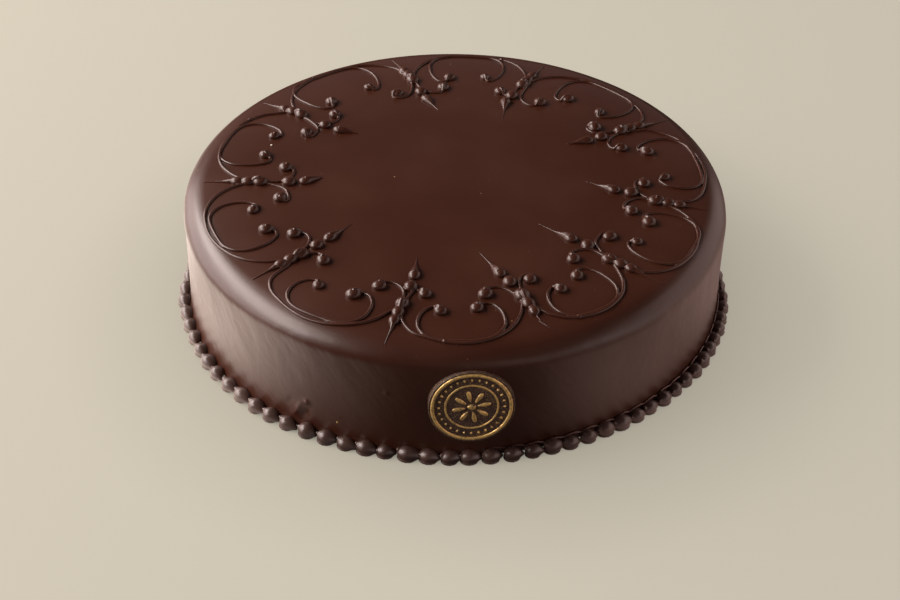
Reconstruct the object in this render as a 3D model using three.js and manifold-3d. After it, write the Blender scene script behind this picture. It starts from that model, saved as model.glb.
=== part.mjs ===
// A whole round chocolate torte with a poured glaze. Ten piped motifs lie on its top, each with a
// beaded stem, a bud, a drop and scrolls that hang as garlands between the stems. A row of piped
// pearls runs round the foot and a gilded chocolate seal sits on the front.
// Units are millimetres. +Z is up, the origin is the middle of the underside, -Y is the front.
import * as THREE from 'three';
import { mergeVertices } from 'three/addons/utils/BufferGeometryUtils.js';
import Module from 'manifold-3d';

const wasm = await Module();
wasm.setup();

// Driving dimensions.
const CLEARANCE = 0.3;
const CAKE = { radius: 125.2, height: 57.3, topEdge: 11, footEdge: 1.6, sides: 52, edgeSteps: 3 };
const PEARLS = { count: 95, ring: 128.7, across: 2.9, height: 7.6, sides: 5, uneven: 0.06, astray: 0.08 };
const PEARL_ROUNDS = [{ share: 0.26, thick: 1 }, { share: 0.74, thick: 1 }, { share: 1, thick: 0.45 }];
const SEAL = { azimuth: -86.5, middle: 28.5, radius: 17.7, thickness: 3.4, rim: 1.7, relief: 0.6 };
const SEAL_ROSETTE = { petals: 8, inner: 2.2, outer: 7.4, width: 2.3, hub: 2.2, ring: 10.6, band: 0.8 };
const PIPING = { line: 0.65, tip: 0.16, squash: 0.68, sides: 5, turn: 30, spacing: 24 };
const STEM = { shoulder: 0.4, thick: 1.5 };
const STEM_BEADS = [{ at: 0, radius: 3 }, { at: 5.6, radius: 2.5 }, { at: 10.6, radius: 2.2 }];
const END_BEAD = 3;
const FIRST_BEAD = { at: 2.4, radius: 2.6 };
const LAST_BEAD = { at: -2.7, radius: END_BEAD };
const DROP = { radius: 2.6, taper: 7, shoulder: 1.4, thick: 2.2, thin: 0.45 };

// The ten hand-piped motifs, anticlockwise. A pair is a place beside the largest stem bead: across
// (anticlockwise) and outwards. The garland and the scroll of a row reach to the row after it.
const MOTIFS = [
  { azimuth: -102.2, radius: 97.8, tail: [-1.4, 22.9], bud: [0.6, -11.4], drop: [0.2, -19.3],
    tip: [-1.8, -32], left: [-12, -8.7], right: [7.5, -8], scrollFrom: [16, 1], scrollTo: [-20, 2.4],
    belly: 117.9, apart: 1, sweep: -2.5 },
  { azimuth: -72.7, radius: 93.8, tail: [2.6, 18], bud: [-2, -9.8], drop: [-4, -16.8],
    tip: [-7.6, -33.4], left: [-14, -5], right: [6.6, -9], scrollFrom: [16.7, 0.4], scrollTo: [-18.2, -2],
    belly: 114.5, apart: 1, sweep: 3 },
  { azimuth: -44.5, radius: 91.7, tail: [4.4, 25.6], bud: [1.2, -12.7], drop: [-0.2, -21],
    tip: [-1.7, -38.5], left: [-10.7, -10.5], right: [12.7, -10], scrollFrom: [18.4, 0.6],
    scrollTo: [-17, -1], belly: 117, apart: 1, sweep: 1 },
  { azimuth: -12.8, radius: 92.4, tail: [-0.2, 23.5], bud: [3.8, -11.6], drop: [4.4, -19.4],
    tip: [8.8, -33], left: [-10.3, -9.4], right: [12.7, -6.7], scrollFrom: [20.5, 2],
    scrollTo: [-21.4, 1.6], belly: 116.4, apart: 2.2, sweep: -2 },
  { azimuth: 26.1, radius: 88.9, tail: [0.7, 28], bud: [-1, -11.4], drop: [-1, -19],
    tip: [0.8, -29], left: [-13.3, -7.7], right: [8, -9.6], scrollFrom: [19.4, -0.3],
    scrollTo: [-26, -4.4], belly: 112.6, apart: 1, sweep: -2.5 },
  { azimuth: 67.9, radius: 89.5, tail: [-3.5, 24.5], bud: [0.9, -12.7], drop: [1.8, -19.4],
    tip: [-2.6, -34.8], left: [-14.4, -13.3], right: [7.9, -11], scrollFrom: [20.4, -0.4],
    scrollTo: [-19, -2], belly: 114.6, apart: 1, sweep: 2 },
  { azimuth: 104.5, radius: 89.4, tail: [5.7, 25], bud: [-1.3, -13], drop: [-2.4, -20.2],
    tip: [-6.1, -32.3], left: [-13.5, -11.1], right: [10.6, -11.8], scrollFrom: [23.4, -2.4],
    scrollTo: [-18.3, -4.3], belly: 115.5, apart: 1, sweep: 5 },
  { azimuth: 146.3, radius: 91.3, tail: [0.6, 24], bud: [1, -15.6], drop: [0.6, -24.1],
    tip: [-2.6, -33.1], left: [-9.5, -13.4], right: [11.3, -12.6], scrollFrom: [22.8, -1.8],
    scrollTo: [-22.7, -1.7], belly: 113.6, apart: 1, sweep: 3 },
  { azimuth: -174.3, radius: 89.3, tail: [-3.3, 26], bud: [1.2, -13.1], drop: [0.9, -20.6],
    tip: [-2.1, -28.3], left: [-11.1, -11.3], right: [13.5, -9], scrollFrom: [22.1, 2.7],
    scrollTo: [-24.6, -0.2], belly: 116.6, apart: 2.2, sweep: 3 },
  { azimuth: -135.6, radius: 90.7, tail: [-1.2, 25], bud: [-0.5, -8.9], drop: [-0.9, -16.6],
    tip: [-2.5, -30.6], left: [-13.7, -6.9], right: [9.6, -4.2], scrollFrom: [21.2, 8],
    scrollTo: [-20.9, -1], belly: 118.9, apart: 2.2, sweep: -2 },
];

// How a scroll curls off its end bead: across and outwards from the bead, towards the belly.
const CURL_FROM = [[-0.6, 2.3], [0, 0], [1.6, -2.8], [5.4, -0.6], [7.2, 4], [6.4, 9.4], [4.2, 13.2]];
const CURL_TO = [[-0.4, 2.7], [0, 0], [2.6, -3], [6.4, -0.8], [8.4, 4], [8.2, 9.2], [6, 13.6]];
// How a garland leaves the right side of a stem and climbs the left side of the next one, and how
// the left end curls over its bead.
const LEAVE = [[3.3, 8.6], [4.4, 11.5]];
const CLIMB = [[-4.2, 10.4], [-3.4, 8.4]];
const LEFT_CURL = [[7.2, -2.6], [3.2, -4.4], [0.3, -2.6], [0, 0], [-0.2, 2.7]];

const GLAZE = new THREE.MeshStandardMaterial({ color: 0x2a1410, roughness: 0.22, metalness: 0 });
const PIPED = new THREE.MeshStandardMaterial({ color: 0x2c1611, roughness: 0.25, metalness: 0 });
const PEARL = new THREE.MeshStandardMaterial({ color: 0x38241f, roughness: 0.42, metalness: 0 });
const GILT = new THREE.MeshStandardMaterial({ color: 0x8a6a32, roughness: 0.4, metalness: 0.6 });

const cake = new THREE.Group();

function add(name, geometry, material) {
  const mesh = new THREE.Mesh(geometry, material);
  mesh.name = name;
  cake.add(mesh);
}

// --- Joining and cutting closed meshes ---

function solid(geometry) {
  const bare = geometry.clone();
  bare.deleteAttribute('normal');
  bare.deleteAttribute('uv');
  const merged = mergeVertices(bare, 1e-4);
  const vertProperties = new Float32Array(merged.attributes.position.array);
  const triVerts = new Uint32Array(merged.index.array);
  return new wasm.Manifold(new wasm.Mesh({ numProp: 3, vertProperties, triVerts }));
}

function geometryOf(body) {
  const mesh = body.getMesh();
  const geometry = new THREE.BufferGeometry();
  geometry.setAttribute('position', new THREE.BufferAttribute(new Float32Array(mesh.vertProperties), 3));
  geometry.setIndex(new THREE.BufferAttribute(new Uint32Array(mesh.triVerts), 1));
  geometry.computeVertexNormals();
  return geometry;
}

function join(geometries) {
  let whole = solid(geometries[0]);
  for (const geometry of geometries.slice(1)) {
    whole = whole.add(solid(geometry));
  }
  return geometryOf(whole);
}

// --- Places on the round top ---

function polar(radius, degrees) {
  const angle = THREE.MathUtils.degToRad(degrees);
  return new THREE.Vector3(radius * Math.cos(angle), radius * Math.sin(angle), 0);
}

function place(motif, [across, outwards]) {
  const radial = polar(motif.radius + outwards, motif.azimuth);
  return radial.add(polar(across, motif.azimuth + 90));
}

function beside(motif, [across, outwards], offsets) {
  return offsets.map(([x, y]) => place(motif, [across + x, outwards + y]));
}

// The same as place, but measured from the leaning line of the stem's tail.
function besideStem(motif, [across, outwards]) {
  const lean = (motif.tail[0] * outwards) / motif.tail[1];
  return place(motif, [across + lean, outwards]);
}

function mirrored(offsets) {
  return offsets.map(([x, y]) => [-x, y]);
}

// A number between -1 and 1 that changes from piece to piece but is the same in every build.
function wobble(index, salt) {
  const value = Math.sin(index * 12.9898 + salt * 78.233) * 43758.5453;
  return 2 * (value - Math.floor(value)) - 1;
}

// --- Piping: a cylinder bent along a flat path, as thick as thicknessAt says, lying on the glaze ---

// Where the cross-sections stand: three over each bead, and between the beads one for every
// PIPING.turn degrees that the path turns and at least one for every PIPING.spacing of its length.
function stationsAlong(path, length, beads) {
  const stations = [0, length];
  for (const { at, radius } of beads) {
    for (const share of [-0.88, 0, 0.88]) {
      stations.push(at + share * radius);
    }
  }
  const turn = THREE.MathUtils.degToRad(PIPING.turn);
  let last = 0;
  for (let s = 1; s < length - 1; s += 1) {
    const turned = path.getTangentAt(s / length).angleTo(path.getTangentAt(last / length));
    if (turned > turn || s - last > PIPING.spacing) {
      last = s;
      if (beads.every(({ at, radius }) => Math.abs(s - at) > radius + 1)) {
        stations.push(s);
      }
    }
  }
  const inside = stations.filter((s) => s >= 0 && s <= length).sort((a, b) => a - b);
  return inside.filter((s, i) => i === 0 || s - inside[i - 1] > 0.35);
}

function swelling(s, { at, radius }) {
  const share = (s - at) / radius;
  return Math.abs(share) < 1 ? radius * Math.sqrt(1 - share * share) : 0;
}

function piped(points, beads, lineAt) {
  const path = new THREE.CatmullRomCurve3(points, false, 'centripetal');
  path.arcLengthDivisions = 400;
  const length = path.getLength();
  const placed = beads.map(({ at, radius }) => ({ at: at < 0 ? length + at : at, radius }));
  const stations = stationsAlong(path, length, placed);
  const steps = stations.length - 1;
  const geometry = new THREE.CylinderGeometry(1, 1, 1, PIPING.sides, steps);
  const position = geometry.attributes.position;
  for (let i = 0; i < position.count; i += 1) {
    const station = stations[Math.round((position.getY(i) + 0.5) * steps)];
    const share = Math.min(station / length, 1);
    const centre = path.getPointAt(share);
    const forward = path.getTangentAt(share);
    const swell = placed.map((bead) => swelling(station, bead));
    const radius = Math.max(lineAt(share), ...swell);
    const sideways = position.getX(i) * radius;
    const rise = (position.getZ(i) + 1) * radius * PIPING.squash;
    position.setXYZ(
      i,
      centre.x + forward.y * sideways,
      centre.y - forward.x * sideways,
      CAKE.height + CLEARANCE + rise,
    );
  }
  return geometry;
}

const evenLine = () => PIPING.line;

function taperFrom(start, thick) {
  return (share) => THREE.MathUtils.lerp(thick, PIPING.tip, Math.max(share - start, 0) / (1 - start));
}

// --- The piped pieces of a motif ---

function stem(motif) {
  const reach = Math.hypot(...motif.tail);
  const along = (distance) => motif.tail.map((part) => (part * distance) / reach);
  const top = 0.95 * STEM_BEADS[0].radius;
  const points = [-top, ...STEM_BEADS.map(({ at }) => at), reach].map((s) => place(motif, along(s)));
  const beads = STEM_BEADS.map(({ at, radius }) => ({ at: at + top, radius }));
  return piped(points, beads, taperFrom(STEM.shoulder, STEM.thick));
}

function leftCurl(motif) {
  const root = [[-0.6, 2.6], [-2, -1.2]].map((offset) => place(motif, offset));
  const points = [...root, ...beside(motif, motif.left, LEFT_CURL)];
  return piped(points, [LAST_BEAD], evenLine);
}

function rightCurl(motif) {
  const [across, outwards] = motif.right;
  const offsets = [[1, -1.5], [0.16 * across, 0.55 * outwards], [0.45 * across, outwards - 2]];
  const over = [[0.85 * across, outwards - 3], motif.right, [1.02 * across, outwards + 2.7]];
  const points = [...offsets, ...over].map((offset) => place(motif, offset));
  return piped(points, [LAST_BEAD], evenLine);
}

function bud(motif) {
  const centre = place(motif, motif.bud);
  const half = polar(END_BEAD, motif.azimuth);
  const ends = [centre.clone().add(half), centre.clone().sub(half)];
  return piped(ends, [{ at: END_BEAD, radius: END_BEAD }], () => PIPING.tip);
}

function drop(motif) {
  const belly = place(motif, motif.drop);
  const tip = place(motif, motif.tip);
  const back = belly.clone().sub(tip).normalize().multiplyScalar(DROP.radius);
  const neck = belly.clone().addScaledVector(back, -DROP.taper / DROP.radius);
  const points = [belly.clone().add(back), belly, neck, tip];
  const length = points[0].distanceTo(tip);
  const { radius, taper, shoulder, thick, thin } = DROP;
  const from = (radius + shoulder) / length;
  const end = (radius + taper) / length;
  const lineAt = (share) => {
    if (share < from) {
      return PIPING.tip;
    }
    if (share < end) {
      return THREE.MathUtils.lerp(thick, thin, (share - from) / (end - from));
    }
    return THREE.MathUtils.lerp(thin, PIPING.tip, (share - end) / (1 - end));
  };
  return piped(points, [{ at: radius, radius }], lineAt);
}

// --- The garland and the scroll between two motifs ---

function between(motif, next) {
  const width = (next.azimuth - motif.azimuth + 360) % 360;
  const middle = motif.azimuth + width / 2;
  return (radius, share) => polar(radius, middle + share * width);
}

function garland(motif, next) {
  const spot = between(motif, next);
  const { belly, sweep } = motif;
  const start = LEAVE.map((offset) => besideStem(motif, offset));
  const hanging = [
    spot(belly - 4.2 - sweep / 2, -0.3),
    spot(belly - 1, -0.14),
    spot(belly, 0),
    spot(belly - 1, 0.14),
    spot(belly - 4.2 + sweep / 2, 0.28),
  ];
  const climb = CLIMB.map((offset) => besideStem(next, offset));
  return piped([...start, ...hanging, ...climb], [], evenLine);
}

function scroll(motif, next) {
  const spot = between(motif, next);
  const belly = motif.belly - motif.apart;
  const from = beside(motif, motif.scrollFrom, mirrored(CURL_FROM));
  const to = beside(next, motif.scrollTo, CURL_TO).reverse();
  const low = [spot(belly - 1.1, -0.13), spot(belly, 0.03), spot(belly - 2, 0.17)];
  return piped([...from, ...low, ...to], [FIRST_BEAD, LAST_BEAD], evenLine);
}

// --- The glazed body, the pearls and the seal ---

function body() {
  const { radius, height, topEdge, footEdge, sides, edgeSteps } = CAKE;
  const profile = [new THREE.Vector2(0, 0), new THREE.Vector2(radius - footEdge, 0)];
  profile.push(new THREE.Vector2(radius, footEdge));
  for (let step = 0; step <= edgeSteps; step += 1) {
    const angle = (step / edgeSteps) * (Math.PI / 2);
    const x = radius - topEdge + topEdge * Math.cos(angle);
    const y = height - topEdge + topEdge * Math.sin(angle);
    profile.push(new THREE.Vector2(x, y));
  }
  profile.push(new THREE.Vector2(0, height));
  return new THREE.LatheGeometry(profile, sides).rotateX(Math.PI / 2);
}

// The pearls touch, so they are one ring: a torus swollen to a round in each pearl and squeezed to a
// neck between two of them, standing flat on the ground.
function pearlBorder() {
  const { count, ring, across, height, sides, uneven, astray } = PEARLS;
  const stations = count * PEARL_ROUNDS.length;
  const geometry = new THREE.TorusGeometry(ring, 1, sides, stations);
  const position = geometry.attributes.position;
  const flatDown = Math.PI / 10;
  const low = Math.sin(flatDown - (2 * Math.PI) / sides);
  for (let i = 0; i < position.count; i += 1) {
    const station = (i % (stations + 1)) % stations;
    const turn = flatDown + (Math.floor(i / (stations + 1)) * 2 * Math.PI) / sides;
    const pearl = Math.floor(station / PEARL_ROUNDS.length);
    const { share, thick } = PEARL_ROUNDS[station % PEARL_ROUNDS.length];
    const reach = across * thick * (1 + uneven * wobble(pearl, 1));
    const tall = height * thick * (1 + uneven * wobble(pearl, 2));
    const azimuth = (pearl + share + astray * wobble(pearl, 3)) * (360 / count);
    const spot = polar(ring + reach * Math.cos(turn), azimuth);
    const rise = (tall * (Math.sin(turn) - low)) / (1 - low);
    position.setXYZ(i, spot.x, spot.y, rise);
  }
  return geometry;
}

function plate(radius, depth, sides) {
  return new THREE.CylinderGeometry(radius, radius, depth, sides).translate(0, depth / 2, 0);
}

// The seal is made lying on XZ with its face towards +Y, then stood up against the side.
function seal() {
  const { radius, thickness, rim, relief, middle, azimuth } = SEAL;
  const { petals, inner, outer, width, hub, ring, band } = SEAL_ROSETTE;
  const depth = thickness + 2;
  let coin = solid(plate(radius, depth, 24));
  const floor = depth - relief;
  const field = solid(plate(radius - rim, 1, 24).translate(0, floor, 0));
  coin = coin.subtract(field);
  const raised = [plate(hub, relief + 0.2, 8)];
  for (let index = 0; index < petals; index += 1) {
    const petal = new THREE.SphereGeometry(1, 6, 3);
    petal.scale((outer - inner) / 2, relief, width / 2);
    petal.translate((outer + inner) / 2, 0.2, 0);
    petal.rotateY((index * 2 * Math.PI) / petals);
    raised.push(petal);
  }
  const hoop = solid(plate(ring, relief * 0.7 + 0.2, 16));
  const hole = solid(plate(ring - band, 4, 16).translate(0, -1, 0));
  const hoopBand = geometryOf(hoop.subtract(hole));
  for (const geometry of [...raised, hoopBand]) {
    coin = coin.add(solid(geometry.translate(0, floor - 0.2, 0)));
  }
  const face = CAKE.radius + CLEARANCE + thickness;
  const stood = geometryOf(coin);
  stood.rotateZ(-Math.PI / 2);
  stood.translate(face - depth, 0, 0);
  const wall = new THREE.CylinderGeometry(1, 1, 2 * radius + 10, 72).rotateX(Math.PI / 2);
  wall.scale(CAKE.radius + CLEARANCE, CAKE.radius + CLEARANCE, 1);
  const fitted = geometryOf(solid(stood).subtract(solid(wall)));
  fitted.translate(0, 0, middle);
  return fitted.rotateZ(THREE.MathUtils.degToRad(azimuth));
}

add('cake', body(), GLAZE);
add('pearl_border', pearlBorder(), PEARL);
add('seal', seal(), GILT);

MOTIFS.forEach((motif, index) => {
  const next = MOTIFS[(index + 1) % MOTIFS.length];
  const number = index + 1;
  add(`stem_${number}`, join([stem(motif), leftCurl(motif), rightCurl(motif)]), PIPED);
  add(`bud_${number}`, bud(motif), PIPED);
  add(`drop_${number}`, drop(motif), PIPED);
  if (motif.apart > 2 * PIPING.line) {
    add(`garland_${number}`, garland(motif, next), PIPED);
    add(`scroll_${number}`, scroll(motif, next), PIPED);
  } else {
    add(`garland_${number}`, join([garland(motif, next), scroll(motif, next)]), PIPED);
  }
});

export default cake;
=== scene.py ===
import math

import bmesh
import bpy
from mathutils import Matrix, Vector, noise


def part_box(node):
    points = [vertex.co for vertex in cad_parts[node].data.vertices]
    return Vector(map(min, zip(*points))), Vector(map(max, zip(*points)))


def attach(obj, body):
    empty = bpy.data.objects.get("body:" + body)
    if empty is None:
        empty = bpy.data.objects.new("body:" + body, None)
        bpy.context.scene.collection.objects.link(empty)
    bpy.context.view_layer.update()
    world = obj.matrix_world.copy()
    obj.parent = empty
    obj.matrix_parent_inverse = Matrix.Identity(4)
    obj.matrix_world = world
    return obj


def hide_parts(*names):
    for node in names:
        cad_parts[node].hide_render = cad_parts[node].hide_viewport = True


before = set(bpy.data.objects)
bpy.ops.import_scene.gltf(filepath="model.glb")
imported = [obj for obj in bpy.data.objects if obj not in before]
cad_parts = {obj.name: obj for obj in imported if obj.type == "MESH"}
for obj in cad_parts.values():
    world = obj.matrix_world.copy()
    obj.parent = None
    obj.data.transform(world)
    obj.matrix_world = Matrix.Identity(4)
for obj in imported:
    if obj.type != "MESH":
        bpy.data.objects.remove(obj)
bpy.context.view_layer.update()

# %% [markdown]
# # A whole glazed torte, cell by cell
# This is a round chocolate torte, uncut, under a poured dark glaze. Ten hand-piped motifs lie on its
# top, a row of piped pearls runs round its foot, and a gilded chocolate seal is stuck to its front.
# The frame is already loaded: plain solids that hold the sizes and the places. Each cell below makes
# the fine shape or the finish of one kind of piece and puts it over the plain ones.

# %% Sizes, taken from the frame
# A piece's lengths are in millimetres, and MM makes them metres. Azimuths are in degrees,
# anticlockwise from +X. The floor, the lights and the camera are placed in metres.
MM = 0.001
cake_low, cake_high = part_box("cake")
CAKE_RADIUS = (cake_high.x - cake_low.x) / 2 / MM
CAKE_HEIGHT = cake_high.z / MM
TOP_EDGE = 11.0
print("cake", round(CAKE_RADIUS, 1), "mm in radius and", round(CAKE_HEIGHT, 1), "mm high")

# %% [markdown]
# A poured top isn't quite flat, and a torte isn't quite a cylinder. The top sinks a little towards
# its rim, and the foot spreads outwards under the weight, least of all at the front. Three small
# functions say so, and what lies on the top or stands against the foot asks them where it is.

# %% The top and the foot
SETTLE, SETTLE_FROM, SETTLE_WIDTH = 0.8, 95, 21
SPREAD, SPREAD_LEAST_AT, SPREAD_WIDTH = 2.0, -82, 40


def settled(distance):
    """How far the top has sunk towards its rim, in millimetres."""
    return SETTLE * min(max((distance - SETTLE_FROM) / SETTLE_WIDTH, 0.0), 1.0) ** 2


def glaze_height(distance):
    """Height of the glaze at a distance from the middle: flat, then down the rounded edge."""
    past = min(max(distance - (CAKE_RADIUS - TOP_EDGE), 0.0), TOP_EDGE)
    edge = math.sqrt(TOP_EDGE**2 - past**2)
    return CAKE_HEIGHT - TOP_EDGE + edge * (1 - settled(distance) / TOP_EDGE)


def spread(azimuth):
    """How far the foot is spread outwards, in millimetres: hardly at all at the front."""
    away = (azimuth - SPREAD_LEAST_AT + 180) % 360 - 180
    return SPREAD * (1 - math.exp(-((away / SPREAD_WIDTH) ** 4)))


print("the foot spreads by", round(spread(0), 2), "mm at the right")


# %% [markdown]
# ## Small helpers
# An operator acts on whatever is selected, so every step starts with nothing selected. A finished
# piece keeps its place in its mesh and its object at the origin, so that patterns don't slide on it.
# Nothing here is random: what differs from piece to piece comes from a sine or from a fixed noise.

# %% Helpers for pieces
def select_only(*objects):
    if bpy.context.mode != "OBJECT":
        bpy.ops.object.mode_set(mode="OBJECT")
    bpy.ops.object.select_all(action="DESELECT")
    for obj in objects:
        obj.select_set(True)
        bpy.context.view_layer.objects.active = obj


def wobble(index, salt):
    """A number between -1 and 1 that differs from piece to piece but is the same in every run."""
    value = math.sin(index * 12.9898 + salt * 78.233) * 43758.5453
    return 2 * (value - math.floor(value)) - 1


def choose(obj, kind, wanted):
    """In edit mode, selects the faces or edges for which wanted is true, and nothing else."""
    bpy.ops.mesh.select_all(action="DESELECT")
    mesh = bmesh.from_edit_mesh(obj.data)
    for part in getattr(mesh, kind):
        part.select = wanted(part)
    bmesh.update_edit_mesh(obj.data)


def apply_modifier(obj, kind, **settings):
    select_only(obj)
    modifier = obj.modifiers.new(kind.title(), kind)
    for name, value in settings.items():
        setattr(modifier, name, value)
    bpy.ops.object.modifier_apply(modifier=modifier.name)


def joined(objects, name):
    select_only(*objects)
    bpy.ops.object.join()
    whole = bpy.context.object
    bpy.ops.object.transform_apply(location=True, rotation=True, scale=True)
    whole.name = name
    return whole


def finished(obj, slot, material, *nodes, angle=40):
    """Puts the finish on a piece, ties it to the frame and hides the plain solids it stands for."""
    select_only(obj)
    bpy.ops.object.transform_apply(location=True, rotation=True, scale=True)
    bpy.ops.object.shade_smooth_by_angle(angle=math.radians(angle))
    if material is not None:
        obj.data.materials.clear()
        obj.data.materials.append(material)
    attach(obj, "root")
    if nodes:
        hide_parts(*nodes)
    print(obj.name, len(obj.data.polygons), "faces")
    return obj


# %% [markdown]
# ## Shader sums written as Python
# A finish is a sum of masks. This class wraps one output of a node, so that `1 - mask * 0.4` adds the
# Math nodes for it. Any other node comes from its `node` method: settings first, then its inputs.

# %% A class for shader expressions
class Shade:
    def __init__(self, tree, socket=None):
        self.tree = tree
        self.socket = socket

    def node(self, kind, settings=None, inputs=None, output=0):
        new = self.tree.nodes.new("ShaderNode" + kind)
        for name, value in (settings or {}).items():
            setattr(new, name, value)
        for name, value in (inputs or {}).items():
            target = new.inputs[name]
            if isinstance(value, Shade):
                self.tree.links.new(value.socket, target)
            else:
                target.default_value = value
        self.made = new
        return Shade(self.tree, new.outputs[output])

    def math(self, operation, first, second):
        return self.node("Math", {"operation": operation}, {0: first, 1: second})

    def __add__(self, other):
        return self.math("ADD", self, other)

    def __radd__(self, other):
        return self.math("ADD", other, self)

    def __sub__(self, other):
        return self.math("SUBTRACT", self, other)

    def __rsub__(self, other):
        return self.math("SUBTRACT", other, self)

    def __mul__(self, other):
        return self.math("MULTIPLY", self, other)

    def __rmul__(self, other):
        return self.math("MULTIPLY", other, self)

    def __lt__(self, other):
        return self.math("LESS_THAN", self, other)

    def between(self, low, high):
        """0 below low, 1 above high and a smooth slope between them."""
        settings = {"interpolation_type": "SMOOTHSTEP"}
        return self.node("MapRange", settings, {"Value": self, "From Min": low, "From Max": high})

    def blend(self, colour, other):
        """colour where this mask is 0 and other where it is 1."""
        settings = {"data_type": "RGBA"}
        return self.node("Mix", settings, {0: self, 6: colour, 7: other}, output=2)


# %% [markdown]
# Two patterns are enough for chocolate: soft noise, for what is cloudy or grained, and specks, for
# dust and flecks. Both take sizes in millimetres and are fed the object's own place.

# %% Materials and patterns
def new_material(name):
    material = bpy.data.materials.new(name)
    material.use_nodes = True
    start = Shade(material.node_tree)
    surface = material.node_tree.nodes["Principled BSDF"]
    return material, start, surface


def feed(start, surface, name, value):
    start.tree.links.new(value.socket, surface.inputs[name])


def object_place(start):
    return start.node("TexCoord", output=3)


def noise_of(start, vector, size_mm, detail=2.0, roughness=0.5, stretch=(1, 1, 1)):
    """Soft noise whose blots are about size_mm across; stretch makes them longer along an axis."""
    scale = tuple(1 / (size_mm * MM * part) for part in stretch)
    placed = start.node("Mapping", None, {"Vector": vector, "Scale": scale})
    inputs = {"Vector": placed, "Scale": 1.0, "Detail": detail, "Roughness": roughness}
    return start.node("TexNoise", None, inputs)


def specks_of(start, vector, cell_mm, size, share, shift=(0, 0, 0)):
    """1 on scattered round specks: one may lie in each cell, and only a share of the cells has one."""
    scale = (1 / (cell_mm * MM),) * 3
    placed = start.node("Mapping", None, {"Vector": vector, "Scale": scale, "Location": shift})
    distance = start.node("TexVoronoi", None, {"Vector": placed, "Scale": 1.0})
    cell = Shade(start.tree, start.made.outputs["Color"])
    chosen = cell.node("SeparateColor", None, {"Color": cell}) < share
    return (distance < size) * chosen


# %% [markdown]
# ## The glazed body
# The glaze was poured over the torte, so it is one smooth skin with a round top edge. A cylinder
# gives the straight side, a bevel of its top rim gives the round edge, and cuts and insets give the
# skin enough faces to be uneven: the pour leaves slight waves, most of all on the side.

# %% The body's plain form
FOOT_EDGE = 1.6
TOP_INSETS = 18
MARKED_PART = (-126, -98)


def plain_cylinder():
    select_only()
    bpy.ops.mesh.primitive_cylinder_add(
        vertices=256, radius=CAKE_RADIUS * MM, depth=CAKE_HEIGHT * MM, location=(0, 0, CAKE_HEIGHT * MM / 2)
    )
    body = bpy.context.object
    bpy.ops.object.transform_apply(location=True)
    body.name = "glazed_body"
    return body


def round_rim(body, height, offset, segments):
    choose(body, "edges", lambda edge: all(abs(v.co.z - height * MM) < 0.1 * MM for v in edge.verts))
    bpy.ops.mesh.bevel(offset=offset * MM, segments=segments, profile=0.5, affect="EDGES")


def is_top(face):
    return len(face.verts) > 100 and face.normal.z > 0.9


def is_marked(face):
    """On the stretch of the side that carries the lump and the creases, which need smaller faces."""
    middle = face.calc_center_median() / MM
    azimuth = math.degrees(math.atan2(middle.y, middle.x))
    return middle.xy.length > 120 and MARKED_PART[0] < azimuth < MARKED_PART[1] and 3 < middle.z < 40


def body_form():
    body = plain_cylinder()
    bpy.ops.object.mode_set(mode="EDIT")
    bpy.ops.mesh.select_mode(type="EDGE")
    round_rim(body, CAKE_HEIGHT, TOP_EDGE, 14)
    round_rim(body, 0, FOOT_EDGE, 4)
    for height in range(4, 46, 3):
        bpy.ops.mesh.select_all(action="SELECT")
        bpy.ops.mesh.bisect(plane_co=(0, 0, height * MM), plane_no=(0, 0, 1))
    bpy.ops.mesh.select_mode(type="FACE")
    choose(body, "faces", is_top)
    for _ in range(TOP_INSETS):
        bpy.ops.mesh.inset(thickness=6 * MM)
    choose(body, "faces", is_marked)
    bpy.ops.mesh.subdivide(number_cuts=4)
    bpy.ops.object.mode_set(mode="OBJECT")
    return body


body = body_form()
print("body", len(body.data.vertices), "corners")

# %% [markdown]
# The waves of the pour are small: a few tenths of a millimetre on the side and next to nothing on
# the levelled top. A lump with short creases beside it sits low on the left of the front, where the
# glaze ran over something, and the skin flares where it meets the pearls.

# %% Waves, a lump and its creases
# A lump: azimuth, height, radius, and how far it stands out. A crease: azimuth, height, length, width,
# and how far it stands out, or in where that is negative.
LUMPS = ((-118.7, 16.2, 1.2, 1.0), (-102.2, 32.9, 0.9, 0.35))
CREASES = ((-121.0, 10.5, 4.6, 1.2, 0.8), (-119.4, 8.5, 4.2, 1.3, -0.8), (-122.8, 13.0, 3.0, 1.2, -0.3))
CREASE_LEAN = (0.45, 0.89)
MEAN_WAVE = 0.35
SPREAD_HEIGHT = 48
FLARE, FLARE_HEIGHT = 2.3, 5


def pour_wave(azimuth, height):
    """How far the side stands out, in millimetres: slow waves round it and slanting runs down it."""
    around = math.radians(azimuth)
    spot = Vector((math.cos(around) * 2.2, math.sin(around) * 2.2, height / 60))
    slow = noise.noise(spot) * 0.5
    runs = Vector((math.cos(around) * 13 + height / 34, math.sin(around) * 13, height / 75))
    return slow + noise.noise(runs) * 0.16


def marks(azimuth, height):
    """How far the lumps and creases stand out there, in millimetres."""
    across = CAKE_RADIUS * math.radians(1)
    lean, rise = CREASE_LEAN
    lift = 0.0
    for place, middle, size, depth in LUMPS:
        away = math.hypot((azimuth - place) * across, height - middle) / size
        lift += depth * math.exp(-away * away)
    for place, middle, long, wide, depth in CREASES:
        side = (azimuth - place) * across
        up = height - middle
        along = (side * lean + up * rise) / long
        away = (side * rise - up * lean) / wide
        lift += depth * math.exp(-along * along - away * away)
    return lift


def foot_lift(azimuth, height):
    low = max(SPREAD_HEIGHT - height, 0) / SPREAD_HEIGHT
    return spread(azimuth) * low**1.3 + FLARE * max(1 - height / FLARE_HEIGHT, 0) ** 2


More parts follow.
